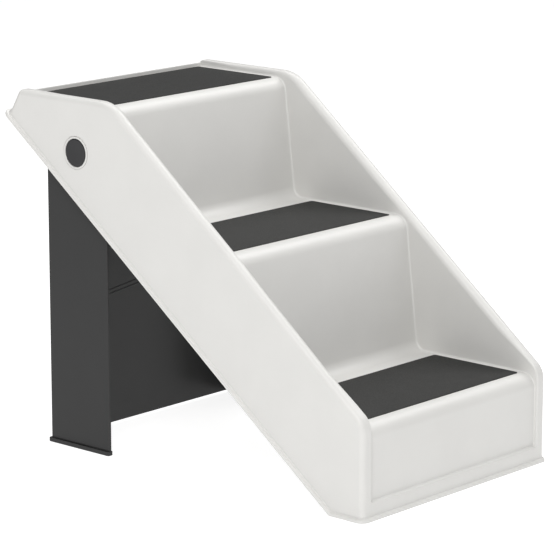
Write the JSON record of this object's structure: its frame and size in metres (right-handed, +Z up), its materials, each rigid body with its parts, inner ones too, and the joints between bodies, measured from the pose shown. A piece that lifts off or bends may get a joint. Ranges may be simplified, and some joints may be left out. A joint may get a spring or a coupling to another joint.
{
  "type": "pet stairs",
  "caption": "Folding moulded pet stairs: treads with grip mats between solid side rails, on a fold-away rear stand released by side buttons.",
  "frame": {"origin": "on the floor, under the middle of the overall box", "axes": "+X to the right seen from the front, +Y from the low front step back to the high end, +Z up"},
  "size_m": [0.4, 0.67, 0.503],
  "materials": {
    "white_shell": "satin moulded polypropylene",
    "tread_mat": "matte fine-grained grip mat",
    "stand_plastic": "matte moulded polypropylene",
    "foot_rubber": "matte",
    "button_plastic": "satin",
    "retainer_plastic": "satin",
    "spring_steel": "bright",
    "screw_steel": "zinc plated"
  },
  "bodies": {
    "body": {"body_shell": "white_shell", "bottom_mat": "tread_mat", "middle_mat": "tread_mat", "top_mat": "tread_mat", "front_foot_left": "foot_rubber", "front_foot_right": "foot_rubber", "hub_retainer_left": "retainer_plastic", "hub_retainer_right": "retainer_plastic", "retainer_screws": "screw_steel", "button_spring_left": "spring_steel", "button_spring_right": "spring_steel"},
    "stand": {"stand_frame": "stand_plastic", "foot_strip_left": "foot_rubber", "foot_strip_right": "foot_rubber"},
    "button_left": {"hub_button_left": "button_plastic"},
    "button_right": {"hub_button_right": "button_plastic"}
  },
  "joints": [
    {"name": "stand_fold", "type": "hinge", "parent": "body", "child": "stand", "pos_m": [0, 0.1915, 0.42656], "axis": [-1, 0, 0], "range_deg": [0, 52]},
    {"name": "button_left_press", "type": "slide", "parent": "body", "child": "button_left", "axis": [1, 0, 0], "range_m": [0, 0.005], "stiffness_N_per_m": 400, "springref_m": -0.004, "deforming": ["button_spring_left"]},
    {"name": "button_right_press", "type": "slide", "parent": "body", "child": "button_right", "axis": [-1, 0, 0], "range_m": [0, 0.005], "stiffness_N_per_m": 400, "springref_m": -0.004, "deforming": ["button_spring_right"]}
  ]
}
